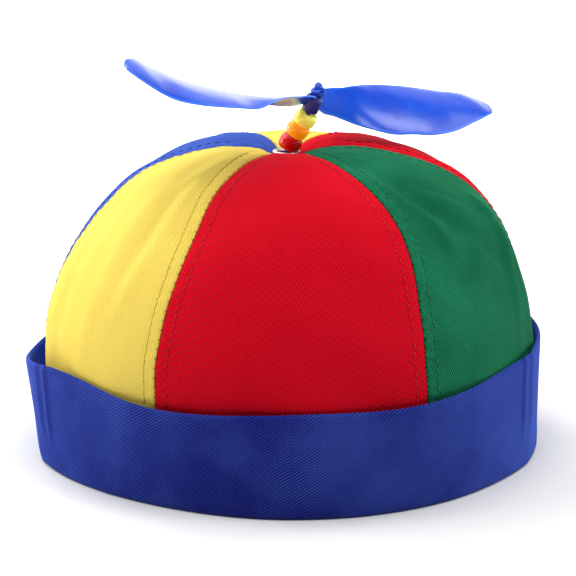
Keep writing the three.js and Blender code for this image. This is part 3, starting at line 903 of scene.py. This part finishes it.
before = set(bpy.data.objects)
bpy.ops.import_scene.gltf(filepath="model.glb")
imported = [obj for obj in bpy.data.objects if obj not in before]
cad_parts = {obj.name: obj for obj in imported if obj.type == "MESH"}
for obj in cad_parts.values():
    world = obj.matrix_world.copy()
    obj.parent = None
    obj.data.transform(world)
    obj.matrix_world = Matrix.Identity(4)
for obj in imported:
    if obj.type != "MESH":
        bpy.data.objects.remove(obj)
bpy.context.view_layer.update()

# Twills: main, dark and light colours, the colour of painted shade in needle holes, seam notches and the
# seam's groove, then sheen and how much lighter the seam band is made in patches
CLOTHS = {
    "red": (color(216, 12, 36), color(158, 0, 10), color(222, 16, 44), color(120, 0, 8), 0.02, 0),
    "green": (color(22, 113, 77), color(3, 55, 35), color(42, 150, 108), color(8, 52, 34), 0.04, 0.25),
    "yellow": (color(230, 205, 98), color(214, 184, 68), color(234, 214, 112), color(132, 108, 14), 0.02, 0),
    "blue": (color(54, 82, 164), color(30, 52, 134), color(78, 108, 188), color(36, 58, 142), 0.12, 0.3),
}
cloth_material = {
    key: twill(f"{key}_twill", *tones, GORE_TWILL, True) for key, tones in CLOTHS.items()
}
thread_material = {
    "red": thread("red_thread", color(218, 40, 62), color(170, 6, 24)),
    "green": thread("green_thread", color(46, 140, 104), color(10, 84, 54)),
    "yellow": thread("yellow_thread", color(238, 214, 98), color(196, 168, 52)),
    "blue": thread("blue_thread", color(84, 112, 206), color(36, 54, 150)),
}

# Gores and their topstitching
for number, (node, key, first_seam, last_seam, _) in enumerate(GORES):
    face, back, cloth_map, seam_map = gore_grid(number)
    gore_maps = (both_sides(cloth_map, cloth_map), both_sides(seam_map, seam_map))
    gore_mesh = body_mesh(f"{node}_cloth", both_sides(face, back), False, *gore_maps)
    show(f"{node}_cloth", gore_mesh, cloth_material[key], "hat", [node])
    sewn = []
    for edge_side in (0, 1):
        sewn += stitch_rows(face, seam_map, first_seam, last_seam, edge_side)
    stitches_mesh = threads_mesh(f"{node}_stitches", sewn)
    show(f"{node}_stitches", stitches_mesh, thread_material[key], "hat")

# Cuff
cuff_rings, cuff_map = cuff_grid()
# The cuff is the same cloth as the blue gore, but its tones are darker: painted shade for its shaded front
cuff_shaded_tones = (color(34, 43, 137), color(12, 14, 80), color(74, 104, 200), color(10, 12, 60))
cuff_cloth = twill("cuff_twill", *cuff_shaded_tones, 0.9, 0, CUFF_TWILL, False)
cuff_mesh = body_mesh("cuff_cloth", cuff_rings, True, cuff_map)
show("cuff_cloth", cuff_mesh, cuff_cloth, "hat", ["cuff"])

# Eyelet
under = -CLOTH_WALL - CLEARANCE
eyelet_outline = rounded([
    (EYELET_BORE, under - EYELET_PLATE),
    (EYELET_RIM, under - EYELET_PLATE),
    (EYELET_RIM, under),
    (EYELET_BARREL, under),
    (EYELET_BARREL, CLEARANCE),
    (EYELET_RIM, CLEARANCE),
    (EYELET_RIM, CLEARANCE + 0.5 * EYELET_PLATE),
    (EYELET_RIM - 0.3 * EYELET_FLANGE, CLEARANCE + 1.1 * EYELET_PLATE),
    (EYELET_RIM - 0.7 * EYELET_FLANGE, CLEARANCE + 0.9 * EYELET_PLATE),
    (EYELET_BARREL, CLEARANCE + 0.55 * EYELET_PLATE),
    (EYELET_BORE, CLEARANCE - 0.1 * EYELET_PLATE),
])
eyelet_rings, eyelet_map = turned(eyelet_outline)
eyelet_rings = eyelet_rings + AXIS_AT + (EYELET_SHIFT, 0, SEAT_HEIGHT)
eyelet_metal = metal("eyelet_metal", color(214, 206, 192), color(150, 140, 124))
eyelet_mesh = body_mesh("eyelet_ring", eyelet_rings, True, eyelet_map)
show("eyelet_ring", eyelet_mesh, eyelet_metal, "hat", ["eyelet"])

# Places of the beads and the hub, each seated on the one below it, as in part.mjs
BEAD_FACE = 0.8 * BEAD_RADIUS
below = np.array([0, 0, 1.0])
top = np.array([EYELET_SHIFT, 0, EYELET_TOP], float)
seats = []
for lean_by, heading_at, tall in [
    *((lean, STEM_HEADING, BEAD_LENGTH) for _, lean in BEADS),
    (HUB_LEAN, HUB_HEADING, HUB_HEIGHT),
]:
    direction = leaning(lean_by, heading_at)
    between = math.acos(min(1.0, float(np.dot(below, direction))))
    foot_at = top + direction * (CLEARANCE + BEAD_FACE * math.tan(between))
    top = foot_at + direction * tall
    seats.append((direction, foot_at, top))
    below = direction
hub_direction, hub_base, hub_top = seats[-1]

# Beads
bead_looks = {
    "bead_red": plastic("bead_red", color(222, 4, 4), color(230, 12, 10), 0.26, 0.4, depth=0.003),
    "bead_orange": plastic(
        "bead_orange", color(255, 152, 12), color(255, 162, 28), 0.28, 1.0, depth=0.005, glow=0.3
    ),
    "bead_yellow": plastic(
        "bead_yellow", color(255, 236, 100), color(255, 242, 126), 0.28, 1.0, depth=0.005, glow=0.14
    ),
}
bead_half = 0.5 * BEAD_LENGTH + 0.4 * CLEARANCE
bore = CORD_RADIUS + BEAD_PLAY
bead_upper = ((0.6, 1.0), (0.84, 0.97), (0.97, 0.74), (1.03, 0.3))
bead_outline = rounded([
    (bore, 0.86 * bead_half),
    *((reach * BEAD_RADIUS, height * bead_half) for reach, height in bead_upper),
    *((reach * BEAD_RADIUS, -height * bead_half) for reach, height in reversed(bead_upper)),
    (bore, -0.86 * bead_half),
])
for (bead_name, _), (direction, foot_at, face_at) in zip(BEADS, seats):
    bead_rings, bead_map = turned(bead_outline)
    bead_rings = bead_rings @ rotation_to(direction).T + (foot_at + face_at) / 2 + AXIS_AT
    show(f"{bead_name}_ring", body_mesh(f"{bead_name}_ring", bead_rings, True, bead_map),
         bead_looks[bead_name], "hat", [bead_name])

# Cord with its two knots, as one line: through the stop knot, up the stem and round the top knot
cord_look = plastic("cord_plastic", color(24, 66, 190), color(60, 110, 226), 0.18, 0.1)
stop_radius = EYELET_BORE + STOP_KNOT_CATCH
stop_at = np.array([EYELET_SHIFT, 0, SEAT_HEIGHT - CLOTH_WALL - EYELET_PLATE - 2 * CLEARANCE - stop_radius])


def knot_path(centre, direction, size, spin, tall):
    """Closed three-lobed knot across a direction."""
    t = np.linspace(0, 2 * math.pi, KNOT_STEPS)
    flat = np.stack([
        np.sin(t) + 2 * np.sin(2 * t),
        np.cos(t) - 2 * np.cos(2 * t),
        -tall * np.sin(3 * t),
    ], axis=-1) * size
    return flat @ about_z(math.radians(spin)).T @ rotation_to(direction).T + centre


stem_route = np.array([
    stop_at,
    (EYELET_SHIFT, 0, SEAT_HEIGHT),
    *((foot_at + face_at) / 2 for _, foot_at, face_at in seats[:3]),
    hub_base,
    (hub_base + hub_top) / 2,
    hub_top,
    hub_top + hub_direction * (CLEARANCE + STEM_REACH),
])
spacing = np.concatenate([[0], np.cumsum(np.linalg.norm(np.diff(stem_route, axis=0), axis=1))])
stem_line = smooth(spacing, stem_route, np.linspace(0, spacing[-1], STEM_STEPS))
stem_rings = tube_rings(stem_line + AXIS_AT, CORD_RADIUS, STEM_SIDES)
stem_map = ring_uv(STEM_STEPS, STEM_SIDES, spacing[-1], 2 * math.pi * CORD_RADIUS)
stem_mesh = body_mesh("stem_cord_line", stem_rings, False, stem_map)
show("stem_cord_line", stem_mesh, cord_look, "hat", ["stem_cord"])
knot_at = hub_base + hub_direction * KNOT_RISE + np.array([KNOT_SHIFT, 0, 0])

# Knots: name, centre, facing, size, spin in degrees, height of the lobes and radius of the cord
knots = (
    ("top_knot", knot_at, leaning(55, -76), 0.76, 180, 0.7, 0.74),
    ("stop_knot", stop_at, np.array([0, 0, 1.0]), 1.02, 0, 0.9, 1.25),
)
for knot_name, knot_centre, facing, size, spin, tall, thick in knots:
    line = knot_path(knot_centre, facing, size, spin, tall) + AXIS_AT
    knot_rings = tube_rings(line[:-1], thick, KNOT_SIDES)
    knot_map = ring_uv(len(knot_rings), KNOT_SIDES, *KNOT_MAP)
    show(knot_name, body_mesh(knot_name, knot_rings, False, knot_map), cord_look, "hat")

# Propeller: the hub and both blades, in the hub's own frame
spin_turn = math.radians(BLADE_HEADING)
to_hub = rotation_to(hub_direction)
prop_look = plastic("propeller_plastic", color(7, 60, 186), color(36, 112, 240), 0.2, 0.12, edge=True)
# The hub is a darker copy of the propeller's plastic: partly for its thicker body, partly painted shade from
# the blades over it
hub_shaded_look = plastic("hub_shaded_plastic", color(6, 10, 104), color(12, 24, 130), 0.4, 0.05)


def on_stem(points, turn):
    """Points of the propeller's own frame, turned about its axis and set on the stem."""
    return points @ about_z(turn).T @ to_hub.T + hub_base + AXIS_AT


def blade_shape(rise_column, sections=90, strips=36):
    """Rings of one blade across its chord, with its cloth and rim maps."""
    place = np.linspace(BLADE_SECTIONS[0, 0], 1, sections)
    place = np.clip(1 - (1 - place) ** 1.6, BLADE_SECTIONS[0, 0], 1)
    rows = smooth(BLADE_SECTIONS[:, 0], BLADE_SECTIONS, place).T
    left = np.clip(1 - place, 0.0004, TIP_LENGTH) / TIP_LENGTH
    tip = TIP_CHORD * np.sqrt(2 * left - left ** 2)
    chord = np.where(place > TIP_START, tip, rows[1]) * BLADE_CHORD / 2
    pitch = np.radians(rows[3])
    lift = rows[rise_column]
    span = np.sin(np.linspace(-0.5, 0.5, strips) * math.pi)
    chord_line = np.stack([0 * pitch, np.cos(pitch), np.sin(pitch)], axis=-1)
    normal = np.stack([0 * pitch, -np.sin(pitch), np.cos(pitch)], axis=-1)
    middle = np.stack(
        [place * BLADE_LENGTH, 0 * place, BLADE_PLACE * HUB_HEIGHT + lift * BLADE_RISE], axis=-1
    )
    middle = middle + chord_line * (rows[2] * BLADE_CHORD)[:, None]
    edge_share = np.sqrt(np.clip(1 - span ** 2, 0, 1))
    thick = BLADE_THICKNESS * (BLADE_EDGE + (1 - BLADE_EDGE) * edge_share) * 0.5
    flat = middle[:, None] + chord_line[:, None] * (span[None] * chord[:, None])[..., None]
    bow = BLADE_CAMBER * (0.5 - span[None] ** 2) * (2 * chord[:, None] / BLADE_CHORD) ** 2
    flat = flat + normal[:, None] * bow[..., None]
    upper = flat + normal[:, None] * thick[None, :, None]
    lower = flat - normal[:, None] * thick[None, :, None]
    along = np.stack(np.broadcast_arrays(place[:, None] * BLADE_LENGTH, span[None] * 14), axis=-1)
    rim = np.minimum((1 - np.abs(span))[None] * chord[:, None], ((1 - place) * BLADE_LENGTH)[:, None] + 0.2)
    rim = np.stack([rim, rim], axis=-1)
    return both_sides(upper, lower), both_sides(along, along), both_sides(rim, rim)


hub_bore = CORD_RADIUS + HUB_PLAY
hub_outline = rounded([
    (hub_bore, -0.9 * CLEARANCE),
    (0.94 * HUB_RADIUS, -1.1 * CLEARANCE),
    (HUB_RADIUS, 0.1 * HUB_HEIGHT),
    (1.02 * HUB_RADIUS, 0.5 * HUB_HEIGHT),
    (HUB_RADIUS, 0.72 * HUB_HEIGHT),
    (0.8 * HUB_RADIUS, 0.84 * HUB_HEIGHT),
    (hub_bore, 0.86 * HUB_HEIGHT),
])
hub_rings, hub_map = turned(hub_outline)
for blade_name, column, blade_turn in (
    ("blade_right", 4, spin_turn),
    ("blade_left", 5, spin_turn + math.pi),
):
    blade_rings, blade_map, rim_map = blade_shape(column)
    blade_mesh = body_mesh(blade_name, on_stem(blade_rings, blade_turn), False, blade_map, rim_map)
    show(blade_name, blade_mesh, prop_look, "rotor")
hub_mesh = body_mesh("propeller_hub", on_stem(hub_rings, spin_turn), True, hub_map)
show("propeller_hub", hub_mesh, hub_shaded_look, "rotor", ["propeller"])

# Floor, whose glow rises with the distance from the hat
floor_mesh = bpy.data.meshes.new("floor")
FLOOR_HALF = 4
floor_corners = [(x * FLOOR_HALF, y * FLOOR_HALF, 0) for x, y in ((-1, -1), (1, -1), (1, 1), (-1, 1))]
floor_mesh.from_pydata(floor_corners, [], [(0, 1, 2, 3)])
floor = bpy.data.objects.new("floor", floor_mesh)
bpy.context.scene.collection.objects.link(floor)
floor_look = Graph("floor")
floor_far = floor_look.node("ShaderNodeVectorMath", operation="LENGTH")
floor_look.feed(floor_far.inputs[0], floor_look.place())
floor_glow = floor_look.math("MULTIPLY", floor_look.ramp(floor_far.outputs["Value"], 0.05, 0.9), 0.9)
floor_look.set(base_color=(0.70, 0.70, 0.70, 1.0), roughness=0.9, specular_ior_level=0.0)
floor_look.set(emission_color=(1, 1, 1, 1), emission_strength=floor_glow)
floor_mesh.materials.append(floor_look.material)

# Light: a dim room with softboxes overhead, at both sides and behind
world = bpy.data.worlds.new("studio")
world.use_nodes = True
world.node_tree.nodes["Background"].inputs["Color"].default_value = (1, 1, 1, 1)
world.node_tree.nodes["Background"].inputs["Strength"].default_value = 0.07
bpy.context.scene.world = world

# Lamps: name, shape, place, size, power in watts and the place each one faces, in metres
HAT_MIDDLE = (0, 0, 0.06)
PROPELLER_AT = (0, 0, 0.14)
LAMPS = (
    ("top", "ELLIPSE", (0.0, -0.1, 1.6), (2.1, 2.1), 29, HAT_MIDDLE),
    ("left_high", "RECTANGLE", (-0.9, 0.0, 0.85), (0.6, 0.6), 6, HAT_MIDDLE),
    ("left_back", "RECTANGLE", (-0.6, 0.8, 0.95), (0.6, 0.6), 9, HAT_MIDDLE),
    ("right_high", "RECTANGLE", (0.74, -0.3, 1.1), (0.5, 0.5), 4.5, HAT_MIDDLE),
    ("left_low", "RECTANGLE", (-1.0, 0.35, 0.2), (0.5, 0.36), 4.5, HAT_MIDDLE),
    ("right_low", "RECTANGLE", (1.0, 0.35, 0.2), (0.5, 0.36), 4.5, HAT_MIDDLE),
    ("glint", "RECTANGLE", (0.92, 0.49, 1.22), (0.3, 0.3), 2.2, PROPELLER_AT),
    ("back_low", "RECTANGLE", (-0.2, 1.5, 0.4), (1.7, 0.56), 6.4, (-0.2, 0, 0.4)),
    ("back_high", "RECTANGLE", (-0.25, 1.5, 1.3), (2.0, 1.1), 5.2, (-0.25, 0, 1.3)),
)
for lamp_name, shape, at, lamp_size, power, towards in LAMPS:
    lamp_data = bpy.data.lights.new(lamp_name, "AREA")
    lamp_data.shape = shape
    lamp_data.size = lamp_size[0]
    lamp_data.size_y = lamp_size[1]
    lamp_data.energy = power
    lamp = bpy.data.objects.new(lamp_name, lamp_data)
    bpy.context.scene.collection.objects.link(lamp)
    lamp.location = at
    lamp.rotation_euler = (Vector(towards) - Vector(at)).to_track_quat("-Z", "Y").to_euler()

# Camera at the photograph's angle: elevation, distance, height it looks at, lens and the picture's shift
CAMERA_ELEVATION = 15
CAMERA_DISTANCE = 0.9
TARGET_HEIGHT = 0.055
LENS = 147.4
FILM_WIDTH = 36
PICTURE_WIDTH = 576
PICTURE_SHIFT = (-1, 12)
camera_data = bpy.data.cameras.new("camera")
camera = bpy.data.objects.new("camera", camera_data)
bpy.context.scene.collection.objects.link(camera)
bpy.context.scene.camera = camera
elevation = math.radians(CAMERA_ELEVATION)
target = Vector((AXIS_AT[0] * MM, AXIS_AT[1] * MM, TARGET_HEIGHT))
camera.location = target + Vector((0, -math.cos(elevation), math.sin(elevation))) * CAMERA_DISTANCE
camera.rotation_euler = (math.radians(90) - elevation, 0, 0)
camera_data.sensor_width = FILM_WIDTH
camera_data.lens = LENS
camera_data.shift_x = PICTURE_SHIFT[0] / PICTURE_WIDTH
camera_data.shift_y = PICTURE_SHIFT[1] / PICTURE_WIDTH
bpy.context.scene.view_settings.view_transform = "Standard"
